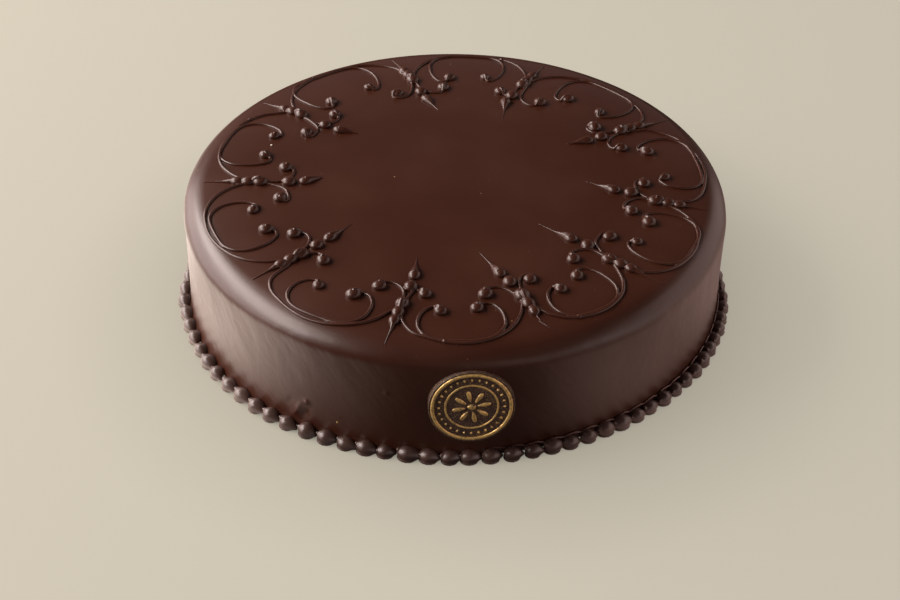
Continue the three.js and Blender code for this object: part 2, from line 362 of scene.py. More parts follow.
lifts = []
for vertex in body.data.vertices:
    spot = vertex.co / MM
    distance = math.hypot(spot.x, spot.y)
    if distance > 60 and spot.z > 1:
        azimuth = math.degrees(math.atan2(spot.y, spot.x))
        outwards = Vector((spot.x, spot.y, 0)) / distance
        on_side = min(max((CAKE_HEIGHT - 1 - spot.z) / 12, 0), 1)
        lift = (pour_wave(azimuth, spot.z) - MEAN_WAVE) * on_side + marks(azimuth, spot.z)
        lift += foot_lift(azimuth, spot.z)
        lifts.append(lift)
        vertex.co += outwards * lift * MM
        above = max(spot.z - (CAKE_HEIGHT - TOP_EDGE), 0)
        vertex.co.z -= above * settled(distance) / TOP_EDGE * MM
print("the side stands in or out by", round(min(lifts), 2), "to", round(max(lifts), 2), "mm")

# %% [markdown]
# ## The glaze
# Dark chocolate glaze is brown in its depth with a clear shine over it. It shines less where it has
# been touched or has dried, so soft noise drives the roughness. Fine pale specks are cocoa and dust.
# The piping is the same chocolate, so one function makes both finishes. Everything reads the
# object's own place, so it stays put from every side.

# %% The glaze's finish
COCOA = (0.041, 0.0115, 0.0053, 1)
COCOA_LIGHT = (0.052, 0.0168, 0.0090, 1)
SPECK = (0.34, 0.19, 0.11, 1)


def chocolate(name, roughness, side_roughness):
    """Dark chocolate; it also returns its place, its mask of the side and its grain, for a bump."""
    material, start, surface = new_material(name)
    place = object_place(start)
    height = place.node("SeparateXYZ", None, {"Vector": place}, output=2)
    side = 1 - height.between((CAKE_HEIGHT - 9) * MM, (CAKE_HEIGHT - 3) * MM)
    cloud = noise_of(start, place, 55, detail=3)
    colour = cloud.between(0.35, 0.75).blend(COCOA, COCOA_LIGHT)
    fine = specks_of(start, place, 5.2, 0.045, 0.3)
    coarse = specks_of(start, place, 13, 0.03, 0.4, shift=(3.3, 1.7, 0.4))
    specks = fine.math("MAXIMUM", fine * 0.45, coarse * 0.8)
    feed(start, surface, "Base Color", specks.blend(colour, SPECK))
    grain = noise_of(start, place, 2.2, detail=4)
    shine = roughness + side * side_roughness + (cloud - 0.5) * 0.10 + (grain - 0.5) * 0.05
    feed(start, surface, "Roughness", shine)
    return material, start, surface, place, side, grain


glaze, start, surface, place, side, grain = chocolate("dark_glaze", 0.31, 0.05)

# %% [markdown]
# On the side the glaze ran down in slanting streaks, which show only in its shine. So the noise is
# drawn out along a leaning axis and fed to a bump: narrow runs, and broad wisps under them. The
# mask of the side keeps them off the levelled top.

# %% Streaks on the side
LEAN = (0.0, math.radians(38), math.radians(50))
leaning = start.node("Mapping", None, {"Vector": place, "Rotation": LEAN})
runs = noise_of(start, leaning, 11, detail=3, roughness=0.5, stretch=(1, 1, 5))
wisps = noise_of(start, leaning, 26, detail=4, roughness=0.55, stretch=(1, 1, 3.5))
relief = (runs * 0.8 + wisps * 3.4) * side * 0.5 + grain * 0.02
bump = start.node("Bump", None, {"Height": relief, "Strength": 0.6, "Distance": 1.2 * MM})
feed(start, surface, "Normal", bump)
surface.inputs["Specular IOR Level"].default_value = 0.5
finished(body, "glaze", glaze, "cake")

# %% [markdown]
# ## Piping
# A piped line is a thin ridge. It starts or ends in a bead, where the bag was squeezed, and it runs
# up and over that bead. So a line is a curve that lies on the glaze, with its own thickness at every
# point, and that climbs over the dome of each bead. All lines and domes of one motif are fused by a
# voxel remesh, which rounds the joins as warm chocolate does.

# %% The ten motifs, anticlockwise
# A pair is a place beside the largest stem bead: millimetres across (anticlockwise) and outwards.
# belly is the radius that the garland swings out to, apart is how far inside it the scroll runs, and
# sweep leans the garland's start.
MOTIFS = [
    dict(azimuth=-102.2, radius=97.8, tail=(-1.4, 22.9), bud=(0.6, -11.4), drop=(0.2, -19.3),
         tip=(-1.8, -32), left=(-12, -8.7), right=(7.5, -8),
         scroll_from=(16, 1), scroll_to=(-20, 2.4), belly=117.9, apart=1, sweep=-2.5),
    dict(azimuth=-72.7, radius=93.8, tail=(2.6, 18), bud=(-2, -9.8), drop=(-4, -16.8),
         tip=(-7.6, -33.4), left=(-14, -5), right=(6.6, -9),
         scroll_from=(16.7, 0.4), scroll_to=(-18.2, -2), belly=114.5, apart=1, sweep=3),
    dict(azimuth=-44.5, radius=91.7, tail=(4.4, 25.6), bud=(1.2, -12.7), drop=(-0.2, -21),
         tip=(-1.7, -38.5), left=(-10.7, -10.5), right=(12.7, -10),
         scroll_from=(18.4, 0.6), scroll_to=(-17, -1), belly=117, apart=1, sweep=1),
    dict(azimuth=-12.8, radius=92.4, tail=(-0.2, 23.5), bud=(3.8, -11.6), drop=(4.4, -19.4),
         tip=(8.8, -33), left=(-10.3, -9.4), right=(12.7, -6.7),
         scroll_from=(20.5, 2), scroll_to=(-21.4, 1.6), belly=116.4, apart=2.2, sweep=-2),
    dict(azimuth=26.1, radius=88.9, tail=(0.7, 28), bud=(-1, -11.4), drop=(-1, -19),
         tip=(0.8, -29), left=(-13.3, -7.7), right=(8, -9.6),
         scroll_from=(19.4, -0.3), scroll_to=(-26, -4.4), belly=112.6, apart=1, sweep=-2.5),
    dict(azimuth=67.9, radius=89.5, tail=(-3.5, 24.5), bud=(0.9, -12.7), drop=(1.8, -19.4),
         tip=(-2.6, -34.8), left=(-14.4, -13.3), right=(7.9, -11),
         scroll_from=(20.4, -0.4), scroll_to=(-19, -2), belly=114.6, apart=1, sweep=2),
    dict(azimuth=104.5, radius=89.4, tail=(5.7, 25), bud=(-1.3, -13), drop=(-2.4, -20.2),
         tip=(-6.1, -32.3), left=(-13.5, -11.1), right=(10.6, -11.8),
         scroll_from=(23.4, -2.4), scroll_to=(-18.3, -4.3), belly=115.5, apart=1, sweep=5),
    dict(azimuth=146.3, radius=91.3, tail=(0.6, 24), bud=(1, -15.6), drop=(0.6, -24.1),
         tip=(-2.6, -33.1), left=(-9.5, -13.4), right=(11.3, -12.6),
         scroll_from=(22.8, -1.8), scroll_to=(-22.7, -1.7), belly=113.6, apart=1, sweep=3),
    dict(azimuth=-174.3, radius=89.3, tail=(-3.3, 26), bud=(1.2, -13.1), drop=(0.9, -20.6),
         tip=(-2.1, -28.3), left=(-11.1, -11.3), right=(13.5, -9),
         scroll_from=(22.1, 2.7), scroll_to=(-24.6, -0.2), belly=116.6, apart=2.2, sweep=3),
    dict(azimuth=-135.6, radius=90.7, tail=(-1.2, 25), bud=(-0.5, -8.9), drop=(-0.9, -16.6),
         tip=(-2.5, -30.6), left=(-13.7, -6.9), right=(9.6, -4.2),
         scroll_from=(21.2, 8), scroll_to=(-20.9, -1), belly=118.9, apart=2.2, sweep=-2),
]
print(len(MOTIFS), "motifs")

# %% [markdown]
# What is the same in every motif is given once: the beads' radii, the line's radius, and the
# shapes that the hand repeats. A curl beside a scroll's bead is given as millimetres along the ring
# and a share of the way out to the garland, an arch as a share of the gap between two motifs and
# millimetres out from its belly.

# %% What all motifs share
STEM_BEADS = ((0, 3.15), (5.6, 2.7), (10.6, 2.4))
END_BEAD = 2.95
FIRST_BEAD = 2.5
DROP_BEAD = 2.55
BLOB = 0.95
LINE = 0.74
PIPING_VOXEL = 0.22
CURL_FROM = ((0, 0), (-2.4, -0.14), (-5.8, -0.03), (-7.8, 0.2), (-8.1, 0.45), (-7, 0.68), (-4.4, 0.87),
             (-0.4, 0.98))
CURL_TO = ((0, 0), (2.8, -0.15), (6.6, -0.11), (9.4, 0.12), (10, 0.39), (9.2, 0.63), (6.4, 0.84), (2, 0.97))
ARCH = ((-0.44, -10.5), (-0.36, -5.2), (-0.24, -1.9), (-0.1, -0.2), (0.04, -0.1), (0.17, -1.7), (0.28, -4.7),
        (0.37, -9.4), (0.44, -15.2))
LEAVE = ((1.0, 6.2), (2.3, 8.6))
LEFT_CURL = ((11.0, 1.8), (7.4, -2.8), (3.2, -4.0), (0.6, -2.6), (0, -0.2))
STRAIGHT_CURL = (0, 5, 9)  # the motifs whose right curl has no hook

# %% [markdown]
# The places above are turned into points on the round top. A hand draws one smooth stroke through
# them, so a Catmull-Rom curve goes through every point without a corner.

# %% Places on the round top
def polar(radius, degrees):
    angle = math.radians(degrees)
    return Vector((radius * math.cos(angle), radius * math.sin(angle)))


def place_at(motif, offset):
    across, outwards = offset
    centre = polar(motif["radius"] + outwards, motif["azimuth"])
    return centre + polar(across, motif["azimuth"] + 90)


def beside(motif, origin, offsets):
    return [place_at(motif, (origin[0] + x, origin[1] + y)) for x, y in offsets]


def beside_stem(motif, offset):
    lean = motif["tail"][0] * offset[1] / motif["tail"][1]
    return place_at(motif, (offset[0] + lean, offset[1]))


def smooth_path(points, step=0.55):
    """Evenly spaced places along a centripetal Catmull-Rom curve through the points."""
    ends = [2 * points[0] - points[1], *points, 2 * points[-1] - points[-2]]
    fine = []
    for p0, p1, p2, p3 in zip(ends, ends[1:], ends[2:], ends[3:]):
        t1 = math.sqrt((p1 - p0).length)
        t2 = t1 + math.sqrt((p2 - p1).length)
        t3 = t2 + math.sqrt((p3 - p2).length)
        for count in range(24):
            t = t1 + (t2 - t1) * count / 24
            a1 = p0.lerp(p1, t / t1)
            a2 = p1.lerp(p2, (t - t1) / (t2 - t1))
            a3 = p2.lerp(p3, (t - t2) / (t3 - t2))
            b1 = a1.lerp(a2, t / t2)
            b2 = a2.lerp(a3, (t - t1) / (t3 - t1))
            fine.append(b1.lerp(b2, (t - t1) / (t2 - t1)))
    fine.append(points[-1])
    even = [fine[0]]
    for spot in fine[1:]:
        if (spot - even[-1]).length > step:
            even.append(spot)
    return even


# %% [markdown]
# A bead is a sphere pressed flat: it sits partly in the glaze, and a line that ends in it climbs over
# it. The dome therefore knows its own height at any spot. A line is a poly curve with a bevel and a
# radius at each point, made a mesh; its heights are eased so that it bends instead of breaking.

# %% A dome
class Dome:
    """A bead: round or drawn out along an azimuth, domed, and partly sunk into the glaze."""

    def __init__(self, centre, radius, azimuth=0.0, longer=1.0, height=1.08):
        self.centre, self.radius, self.azimuth, self.longer = centre, radius, azimuth, longer
        self.tall = radius * height * 0.7
        self.middle = glaze_height(centre.length) + radius * 0.22

    def top_at(self, spot):
        offset = spot - self.centre
        turn = math.radians(self.azimuth)
        along = (offset.x * math.cos(turn) + offset.y * math.sin(turn)) / (self.radius * self.longer)
        across = (offset.y * math.cos(turn) - offset.x * math.sin(turn)) / self.radius
        inside = 1 - along * along - across * across
        return self.middle + self.tall * math.sqrt(inside) if inside > 0 else 0.0

    def mesh(self):
        select_only()
        bpy.ops.mesh.primitive_uv_sphere_add(segments=20, ring_count=12, radius=self.radius * MM)
        obj = bpy.context.object
        obj.scale = (self.longer, 1, self.tall / self.radius)
        bpy.ops.object.transform_apply(scale=True)
        obj.rotation_euler = (0, 0, math.radians(self.azimuth))
        obj.location = Vector((self.centre.x, self.centre.y, self.middle)) * MM
        return obj


# %% A piped line
def eased(heights):
    inner = zip(heights, heights[1:], heights[2:])
    return [heights[0]] + [(a + 2 * b + c) / 4 for a, b, c in inner] + [heights[-1]]


def curve_mesh(name, places, radii, depth):
    """A round tube through places, given in metres, with a radius for each as a share of depth."""
    curve = bpy.data.curves.new(name, "CURVE")
    curve.dimensions = "3D"
    curve.bevel_depth = depth
    curve.bevel_resolution = 2
    curve.use_fill_caps = True
    spline = curve.splines.new("POLY")
    spline.points.add(len(places) - 1)
    for point, place, radius in zip(spline.points, places, radii):
        point.co = (*place, 1)
        point.radius = radius
    obj = bpy.data.objects.new(name, curve)
    bpy.context.scene.collection.objects.link(obj)
    select_only(obj)
    bpy.ops.object.convert(target="MESH")
    return bpy.context.object


def line_mesh(points, thickness_at, domes=()):
    """A piped line; thickness_at gives its radius from its share of the length and its distance."""
    path = smooth_path(points)
    heights, radii = [], []
    length = sum((b - a).length for a, b in zip(path, path[1:]))
    gone = 0.0
    for index, spot in enumerate(path):
        gone += (spot - path[index - 1]).length if index else 0.0
        radius = thickness_at(gone / length, gone)
        over = max([dome.top_at(spot) for dome in domes], default=0.0)
        heights.append(max(glaze_height(spot.length) + 0.3 * radius, over - 0.25 * radius))
        radii.append(radius)
    places = [(spot.x * MM, spot.y * MM, height * MM) for spot, height in zip(path, eased(heights))]
    return curve_mesh("line", places, radii, MM)


def even_line(index):
    """A hand-held bag gives a line that swells and thins a little on its way."""
    return lambda share, gone: LINE * (1 + 0.13 * noise.noise(Vector((gone / 7, index * 3.7, 0.5))))


# %% [markdown]
# Each motif is built from these two: a stem of three beads that runs out in a thread, a curl to each
# side that ends on a bead, a bud, and a drop that is pulled to a point. A garland and a scroll reach
# to the next motif.

# %% A thickness that changes along a line
def ramp(share, stops):
    """The value at a share of the length, from stops that are pairs of a share and a value."""
    for (a, low), (b, high) in zip(stops, stops[1:]):
        if share <= b:
            return low + (high - low) * (share - a) / (b - a)
    return stops[-1][1]


# %% The stem
def stem_pieces(motif, index):
    reach = math.hypot(*motif["tail"])
    lean = math.degrees(math.atan2(motif["tail"][0], motif["tail"][1]))
    azimuth = motif["azimuth"] + lean

    def along(distance):
        return place_at(motif, (motif["tail"][0] * distance / reach, motif["tail"][1] * distance / reach))

    domes = []
    for number, (at, radius) in enumerate(STEM_BEADS):
        size = radius * (1 + 0.06 * wobble(index, number))
        domes.append(Dome(along(at), size, azimuth, 1.12 + 0.06 * number))
    stops = ((0, 1.2), (0.35, 1.4), (0.48, 1.5), (0.66, 0.6), (0.8, 0.34), (1, 0.22))
    middle = along(0.72 * reach) + polar(0.5 * wobble(index, 9), motif["azimuth"] + 90)
    path = [along(0), along(5.6), along(10.6), middle, along(reach)]
    thread = line_mesh(path, lambda share, gone: ramp(share, stops), domes[:1])
    return [thread] + [dome.mesh() for dome in domes]


# %% Curls, bud and drop
def end_dome(motif, offset, radius, toward, index, salt):
    """A bead at the end of a curl, slightly drawn out along the line that comes over it."""
    size = radius * (1 + 0.07 * wobble(index, salt))
    heading = place_at(motif, (offset[0] + toward[0], offset[1] + toward[1])) - place_at(motif, offset)
    azimuth = math.degrees(math.atan2(heading.y, heading.x))
    return Dome(place_at(motif, offset), size, azimuth, 1.08 + 0.05 * wobble(index, salt + 5))


def curl_pieces(motif, index):
    left = end_dome(motif, motif["left"], END_BEAD, (1, -0.4), index, 1)
    path = [beside_stem(motif, (-1.6, 6.5))] + beside(motif, motif["left"], LEFT_CURL)
    pieces = [line_mesh(path, even_line(index), [left]), left.mesh()]
    right = end_dome(motif, motif["right"], END_BEAD, (-1, -0.5), index, 2)
    across, outwards = motif["right"]
    offsets = [(1, -1), (0.16 * across, 0.55 * outwards), (0.45 * across, outwards - 2)]
    if index in STRAIGHT_CURL:
        offsets += [(across, outwards)]
    else:
        offsets += [(0.8 * across, outwards - 3.7), (across + 0.8, outwards - 3.9)]
        offsets += [(across + 2.7, outwards - 2.2), (across + 1.2, outwards - 0.1)]
    path = [place_at(motif, offset) for offset in offsets]
    return pieces + [line_mesh(path, even_line(index + 20), [right]), right.mesh()]


def bud_and_drop(motif, index):
    bud_size = END_BEAD * (1 + 0.06 * wobble(index, 3))
    bud = Dome(place_at(motif, motif["bud"]), bud_size, motif["azimuth"], 1.1)
    belly, tip = place_at(motif, motif["drop"]), place_at(motif, motif["tip"])
    heading = (tip - belly).normalized()
    azimuth = math.degrees(math.atan2(heading.y, heading.x))
    drop = Dome(belly, DROP_BEAD, azimuth, 1.25)
    length = (tip - belly).length
    stops = ((0, 2.2), (2.4 / length, 1.9), (7.2 / length, 0.55), (10 / length, 0.32), (1.01, 0.2))
    drawn = line_mesh([belly, belly + heading * 7, tip], lambda share, gone: ramp(share, stops))
    return [bud.mesh(), drop.mesh(), drawn]


# %% [markdown]
# A garland leaves beside one stem, swings out towards the rim and ends beside the next stem. A scroll
# starts in a bead, runs along inside the garland and curls up into a second bead.

# %% The garland and the scroll
def between(motif, following):
    """Gives a place from its radius and its share of the gap to the next motif, 0 in the middle."""
    width = (following["azimuth"] - motif["azimuth"]) % 360
    middle = motif["azimuth"] + width / 2
    return lambda radius, share: polar(radius, middle + share * width)


def garland_pieces(motif, following, index):
    spot = between(motif, following)
    path = [beside_stem(motif, offset) for offset in LEAVE]
    for share, drop in ARCH:
        lean = motif["sweep"] * (0.7 if share < -0.4 else 0.4 if share < -0.3 else 0)
        path.append(spot(motif["belly"] + drop - lean, share))
    path.append(beside_stem(following, (-1.8, 4.0)))
    return [line_mesh(path, even_line(index + 40))]


def around(centre, offsets, belly):
    """Places beside a bead: millimetres along the ring, and a share of the way out to the belly."""
    azimuth = math.degrees(math.atan2(centre.y, centre.x))
    rise = belly - centre.length
    return [polar(centre.length + out * rise, azimuth + math.degrees(side / 100)) for side, out in offsets]


def scroll_pieces(motif, following, index):
    spot = between(motif, following)
    belly = motif["belly"] - motif["apart"]
    first = end_dome(motif, motif["scroll_from"], FIRST_BEAD, (-1, -0.6), index, 6)
    last = end_dome(following, motif["scroll_to"], END_BEAD, (1, -0.6), index, 7)
    path = around(first.centre, CURL_FROM, belly)
    path += [spot(belly, 0.02)]
    path += around(last.centre, CURL_TO, belly)[::-1]
    return [line_mesh(path, even_line(index + 60), [first, last]), first.mesh(), last.mesh()]


# %% [markdown]
# Where a stroke was started on a line that already lay there, a small blob stands proud of it, and
# one stem has a thread that broke and was left lying.

# %% Blobs and a broken thread
# By the motif's index: a blob's share of the gap, and millimetres out from the belly.
BLOBS = {0: (-0.14, -0.6), 1: (-0.18, -1.0), 5: (-0.23, -1.8), 6: (0.1, -0.8), 7: (-0.27, -2.7)}
BROKEN_THREAD = (1, ((1.6, 16.4), (4.0, 20.4), (6.0, 23.2)))


def extra_pieces(motif, following, index):
    pieces = []
    if index in BLOBS:
        share, drop = BLOBS[index]
        spot = between(motif, following)(motif["belly"] + drop, share)
        pieces.append(Dome(spot, BLOB, motif["azimuth"] + 80, 1.3, 1.6).mesh())
    if index == BROKEN_THREAD[0]:
        path = [place_at(motif, offset) for offset in BROKEN_THREAD[1]]
        pieces.append(line_mesh(path, lambda share, gone: 0.42 - 0.2 * share))
    return pieces


# %% [markdown]
# Every motif is joined and remeshed with fine voxels, which fuses beads and lines into one skin with
# soft joins. A little smoothing takes the steps of the voxels away. One motif is one piece.

# %% Fusing each motif
piping, start, surface, _, _, grain = chocolate("piped_chocolate", 0.33, 0.0)
bump = start.node("Bump", None, {"Height": grain, "Strength": 0.3, "Distance": 0.08 * MM})
feed(start, surface, "Normal", bump)
for index, motif in enumerate(MOTIFS):
    following = MOTIFS[(index + 1) % len(MOTIFS)]
    pieces = stem_pieces(motif, index) + curl_pieces(motif, index) + bud_and_drop(motif, index)
    pieces += garland_pieces(motif, following, index) + scroll_pieces(motif, following, index)
    pieces += extra_pieces(motif, following, index)
    number = index + 1
    fused = joined(pieces, f"piping_{number}")
    apply_modifier(fused, "REMESH", mode="VOXEL", voxel_size=PIPING_VOXEL * MM)
    apply_modifier(fused, "SMOOTH", factor=0.5, iterations=2)
    nodes = [f"{kind}_{number}" for kind in ("stem", "bud", "drop", "garland")]
    if f"scroll_{number}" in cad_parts:
        nodes.append(f"scroll_{number}")
    finished(fused, "piping", piping, *nodes, angle=180)

# %% [markdown]
# ## The pearl border
# Each pearl was pressed out of the bag against the foot of the torte and pulled off sideways, so it
# is a lemon-shaped drop with a small curl at its clockwise end and a thin foot where it spread on
# the plate. Three slightly different pearls are modelled, and every place on the ring gets its own
# copy, a little larger or smaller and turned a little.

# %% One pearl
PEARL_COUNT = 95
PEARL_PITCH = 360 / PEARL_COUNT
PEARL_BEFORE, PEARL_BEHIND, PEARL_DEEP, PEARL_TALL = 3.9, 5.7, 3.15, 2.8
PEARL_VOXEL = 0.42
PEARL_RING = 127.1  # the ring's radius where the foot is not spread
BOX_RING = 127.4  # half the width of the box that it stays in


def pearl_body(kind):
    select_only()
    bpy.ops.mesh.primitive_uv_sphere_add(segments=28, ring_count=16, radius=MM)
    pearl = bpy.context.object
    for vertex in pearl.data.vertices:
        x, y, z = vertex.co / MM
        narrow = 1 - 0.42 * max(x, 0) ** 1.4 - 0.06 * max(-x, 0)
        height = z * PEARL_TALL * narrow + PEARL_TALL * 0.86 - 0.9 * max(x, 0) ** 2
        long = PEARL_BEHIND + 0.5 * kind if x > 0 else PEARL_BEFORE
        vertex.co = Vector((x * long, y * PEARL_DEEP * narrow, max(height, 0.12))) * MM
    return pearl


def pearl_curl(kind):
    bpy.ops.mesh.primitive_uv_sphere_add(segments=12, ring_count=8, radius=(0.95 + 0.15 * kind) * MM)
    curl = bpy.context.object
    curl.scale = (1.4, 0.8, 0.75)
    curl.rotation_euler = (0.3 * kind, 0.6 - 0.3 * kind, 0.5 + 0.5 * kind)
    curl.location = Vector((-3.1, -0.4 + 0.7 * kind, 3.5 + 0.3 * kind)) * MM
    return curl


def pearl_foot():
    bpy.ops.mesh.primitive_cylinder_add(vertices=28, radius=MM, depth=0.5 * MM)
    foot = bpy.context.object
    foot.scale = (PEARL_BEFORE, PEARL_DEEP + 0.15, 1)
    foot.location = (-0.1 * MM, -0.1 * MM, 0.3 * MM)
    return foot


def pearl_model(kind):
    """A pearl at the origin: its blunt end with the curl is at -X, its drawn-out end at +X."""
    model = joined([pearl_body(kind), pearl_curl(kind), pearl_foot()], f"pearl_model_{kind}")
    apply_modifier(model, "REMESH", mode="VOXEL", voxel_size=PEARL_VOXEL * MM)
    apply_modifier(model, "SMOOTH", factor=0.5, iterations=2)
    return model


models = [pearl_model(kind) for kind in (-1, 0, 1)]
print("a pearl has", len(models[0].data.polygons), "faces")


# %% [markdown]
# The copies go round the ring. The ring follows the spread foot, and a hand sets the pearls a little
# closer on one side than on the other, so their azimuths drift by a slow sine.

# %% The ring of pearls
def ring_radius(azimuth):
    """The ring follows the spread foot, and stays inside the frame's box."""
    angle = math.radians(azimuth)
    inside_box = BOX_RING / max(abs(math.cos(angle)), abs(math.sin(angle)))
    return min(PEARL_RING + 1.15 * spread(azimuth), inside_box)


def pearl_copy(number):
    model = models[int((wobble(number, 4) + 1) * 1.5) % 3]
    pearl = model.copy()
    pearl.data = model.data.copy()
    bpy.context.scene.collection.objects.link(pearl)
    even = (number + 0.95 + 0.05 * wobble(number, 3)) * PEARL_PITCH
    azimuth = even + math.degrees(0.09) * math.sin(math.radians(even + 155))
    size = 1 + 0.07 * wobble(number, 1)
    spot = polar(ring_radius(azimuth) + 0.25 * wobble(number, 2), azimuth)
    pearl.scale = (size * (1 + 0.05 * wobble(number, 5)), size, size * (1 + 0.06 * wobble(number, 6)))
    pearl.rotation_euler = (0, 0, math.radians(azimuth + 90 + 7 * wobble(number, 7)))
    pearl.location = (spot.x * MM, spot.y * MM, 0)
    return pearl


pearls = joined([pearl_copy(number) for number in range(PEARL_COUNT)], "pearls")
for model in models:
    bpy.data.objects.remove(model)

# %% [markdown]
# The pearls are satin: firmer chocolate, piped cool, so the shine is broad and soft.

# %% The pearls' finish
satin, start, surface = new_material("satin_chocolate")
place = object_place(start)
blots = noise_of(start, place, 9, detail=3)
colour = blots.between(0.3, 0.75).blend((0.050, 0.025, 0.019, 1), (0.074, 0.040, 0.031, 1))
feed(start, surface, "Base Color", colour)
grain = noise_of(start, place, 1.2, detail=3)
feed(start, surface, "Roughness", 0.38 + (grain - 0.5) * 0.12)
surface.inputs["Specular IOR Level"].default_value = 0.75
bump = start.node("Bump", None, {"Height": grain, "Strength": 0.25, "Distance": 0.12 * MM})
feed(start, surface, "Normal", bump)
finished(pearls, "pearls", satin, "pearl_border", angle=180)

# %% [markdown]
# ## The seal
# A round plaque of chocolate, pressed in a mould and brushed with gold powder that has worn off the
# low parts. It has a raised rim, and its middle holds a plain rosette in a ring of dots. It is
# modelled lying down with its face up, then stood against the side.

# %% The seal's sizes
SEAL_AZIMUTH = -86.5
SEAL_MIDDLE = 30.4
SEAL_RADIUS = 17.4
SEAL_THICK = 2.6
SEAL_LEAN = 5.5
SEAL_ON_WALL = 0.3
seal_low, seal_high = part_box("seal")
print("seal box", [round(v / MM, 1) for v in (*seal_low, *seal_high)])


def flat_disc(radius, depth, height, vertices=96):
    select_only()
    bpy.ops.mesh.primitive_cylinder_add(
        vertices=vertices, radius=radius * MM, depth=depth * MM, location=(0, 0, (height - depth / 2) * MM)
    )
    disc = bpy.context.object
    bpy.ops.object.transform_apply(location=True)
    return disc


def flat_ring(radius, thickness, height, flat=0.6):
    select_only()
    bpy.ops.mesh.primitive_torus_add(
        major_segments=128, minor_segments=12, major_radius=radius * MM, minor_radius=thickness * MM
    )
    ring = bpy.context.object
    ring.scale = (1, 1, flat)
    ring.location = (0, 0, height * MM)
    bpy.ops.object.transform_apply(location=True, scale=True)
    return ring


def drop_shape(length, width, tall, distance, degrees, height):
    """A low oval dome with one narrow end towards the middle of the seal."""
    select_only()
    bpy.ops.mesh.primitive_uv_sphere_add(segments=20, ring_count=10, radius=MM)
    dome = bpy.context.object
    for vertex in dome.data.vertices:
        x, y, z = vertex.co / MM
        vertex.co = Vector((x * length / 2, y * width / 2 * (0.72 + 0.28 * x), z * tall)) * MM
    dome.rotation_euler = (0, 0, math.radians(degrees))
    spot = polar(distance, degrees)
    dome.location = (spot.x * MM, spot.y * MM, height * MM)
    bpy.ops.object.transform_apply(location=True, rotation=True)
    return dome


# %% [markdown]
# The plaque is a disc whose face is inset and pushed in, which leaves the rim. Its edges are bevelled,
# as a mould leaves them. It reaches into the side, so that no gap shows behind it.

# %% The plaque
FACE = SEAL_THICK - 0.7
plaque = flat_disc(SEAL_RADIUS, SEAL_THICK + 2.4, SEAL_THICK - 0.15)
select_only(plaque)
bpy.ops.object.mode_set(mode="EDIT")
bpy.ops.mesh.select_mode(type="FACE")
choose(plaque, "faces", lambda face: face.normal.z > 0.9)
bpy.ops.mesh.inset(thickness=2.1 * MM)
bpy.ops.transform.translate(value=(0, 0, -0.6 * MM))
for _ in range(10):
    bpy.ops.mesh.inset(thickness=1.5 * MM)
bpy.ops.object.mode_set(mode="OBJECT")
apply_modifier(plaque, "BEVEL", width=0.45 * MM, segments=4, angle_limit=math.radians(40))
print("plaque", len(plaque.data.polygons), "faces")

# %% [markdown]
# What stands proud on the plaque is gilded: the rim, a thin inner ring, a rosette of eight petals
# round a button, and a ring of dots.

# %% The relief
PETALS = 8
DOTS = 28
gilded = [flat_ring(SEAL_RADIUS - 1.55, 0.72, SEAL_THICK - 0.4, 0.75)]
gilded.append(flat_ring(10.6, 0.42, FACE, 0.8))
for index in range(PETALS):
    gilded.append(drop_shape(5.4, 2.5, 0.55, 5.2, index * 360 / PETALS + 11, FACE))
gilded.append(drop_shape(3.6, 3.6, 0.7, 0, 0, FACE))
for index in range(DOTS):
    gilded.append(drop_shape(1.25, 1.25, 0.5, 13.2, index * 360 / DOTS, FACE))
print("seal relief has", len(gilded), "pieces")

# %% [markdown]
# The gold is a metal film over brown chocolate. A noise mask wears it away, more on the rim's
# outside and in the low field, where only flecks are left.

# %% Gold and worn chocolate
GOLD = (0.95, 0.66, 0.24, 1)
SEAL_BROWN = (0.076, 0.045, 0.036, 1)


def gilding(name, kept_from, kept_to, fleck_cell, fleck_share):
    material, start, surface = new_material(name)
    place = object_place(start)
    wear = noise_of(start, place, 1.6, detail=5, roughness=0.65)
    broad = noise_of(start, place, 9, detail=2)
    film = (wear * 0.7 + broad * 0.3).between(kept_from, kept_to)
    flecks = specks_of(start, place, fleck_cell, 0.32, fleck_share)
    film = film.math("MAXIMUM", film, flecks * 0.55)
    feed(start, surface, "Base Color", film.blend(SEAL_BROWN, GOLD))
    feed(start, surface, "Metallic", film * 0.6)
    feed(start, surface, "Roughness", 0.46 - film * 0.12 + (wear - 0.5) * 0.2)
    bump = start.node("Bump", None, {"Height": wear, "Strength": 0.5, "Distance": 0.25 * MM})
    feed(start, surface, "Normal", bump)
    return material


def stand_up(obj, name):
    """Turns the seal's face from +Z to outwards at its azimuth and puts it against the side."""
    turn = Matrix.Rotation(math.radians(SEAL_AZIMUTH + 90), 4, "Z")
    turn = turn @ Matrix.Rotation(math.radians(90 - SEAL_LEAN), 4, "X")
    away = polar(CAKE_RADIUS + SEAL_ON_WALL, SEAL_AZIMUTH)
    shift = Matrix.Translation(Vector((away.x, away.y, SEAL_MIDDLE)) * MM)
    obj.data.transform(shift @ turn)
    obj.name = name


stand_up(plaque, "seal_plaque")
finished(plaque, "gilt", gilding("worn_plaque", 0.62, 0.80, 0.45, 0.45), "seal")
relief = joined(gilded, "seal_relief")
stand_up(relief, "seal_relief")
finished(relief, "gilt", gilding("worn_gold", 0.30, 0.56, 0.5, 0.2), angle=60)

# %% [markdown]
# ## Where the glaze met the plate
# The last of the glaze ran down and set in a thin uneven line behind the pearls, from the front round
# the right towards the back. It arches over each pearl and is thin at both ends. Its colour is painted
# lighter than the glaze's, as painted light in the shade between the pearls and the wall.

# %% The glaze's foot line
FOOT_FROM, FOOT_STEP, FOOT_STEPS = -84, 0.5, 296
FOOT_THICK = 0.42


